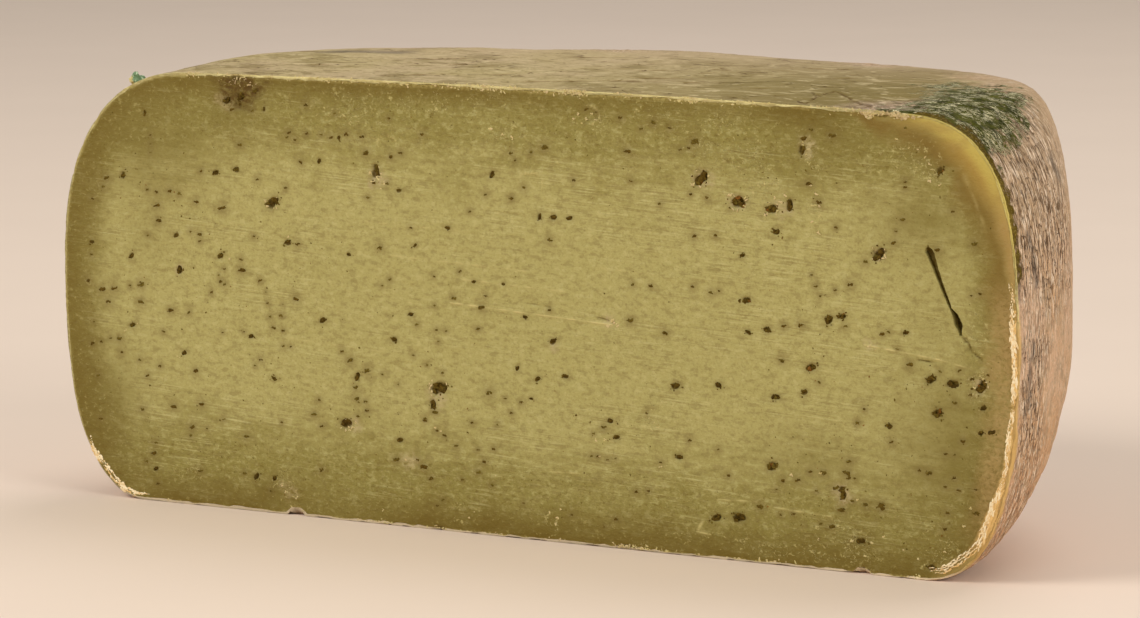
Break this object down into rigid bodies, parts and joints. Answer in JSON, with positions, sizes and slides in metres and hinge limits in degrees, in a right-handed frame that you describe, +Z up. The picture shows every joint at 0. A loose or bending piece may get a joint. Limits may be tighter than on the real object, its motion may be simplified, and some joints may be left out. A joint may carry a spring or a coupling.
{
  "type": "basil pesto tomme cheese",
  "caption": "Half wheel of firm green herb cheese, cut upright through the middle: flecked paste, torn rim, small slit, rounded mouldy rind and a flat base to stand on.",
  "frame": {"origin": "Under the middle of the half wheel's box, on the surface that it stands on", "axes": "+Z up, +X along the cut to the right as the cut face is seen, and +Y from the cut face towards the rounded back"},
  "size_m": [0.2386, 0.1196, 0.1009],
  "materials": {
    "paste": "satin olive-green paste with dark herb flecks",
    "rind": "dry grey-brown mould over dark green",
    "herb": "dark chopped herb",
    "crumb": "pale torn cheese"
  },
  "bodies": {
    "root": {"cheese": "paste"}
  },
  "joints": []
}
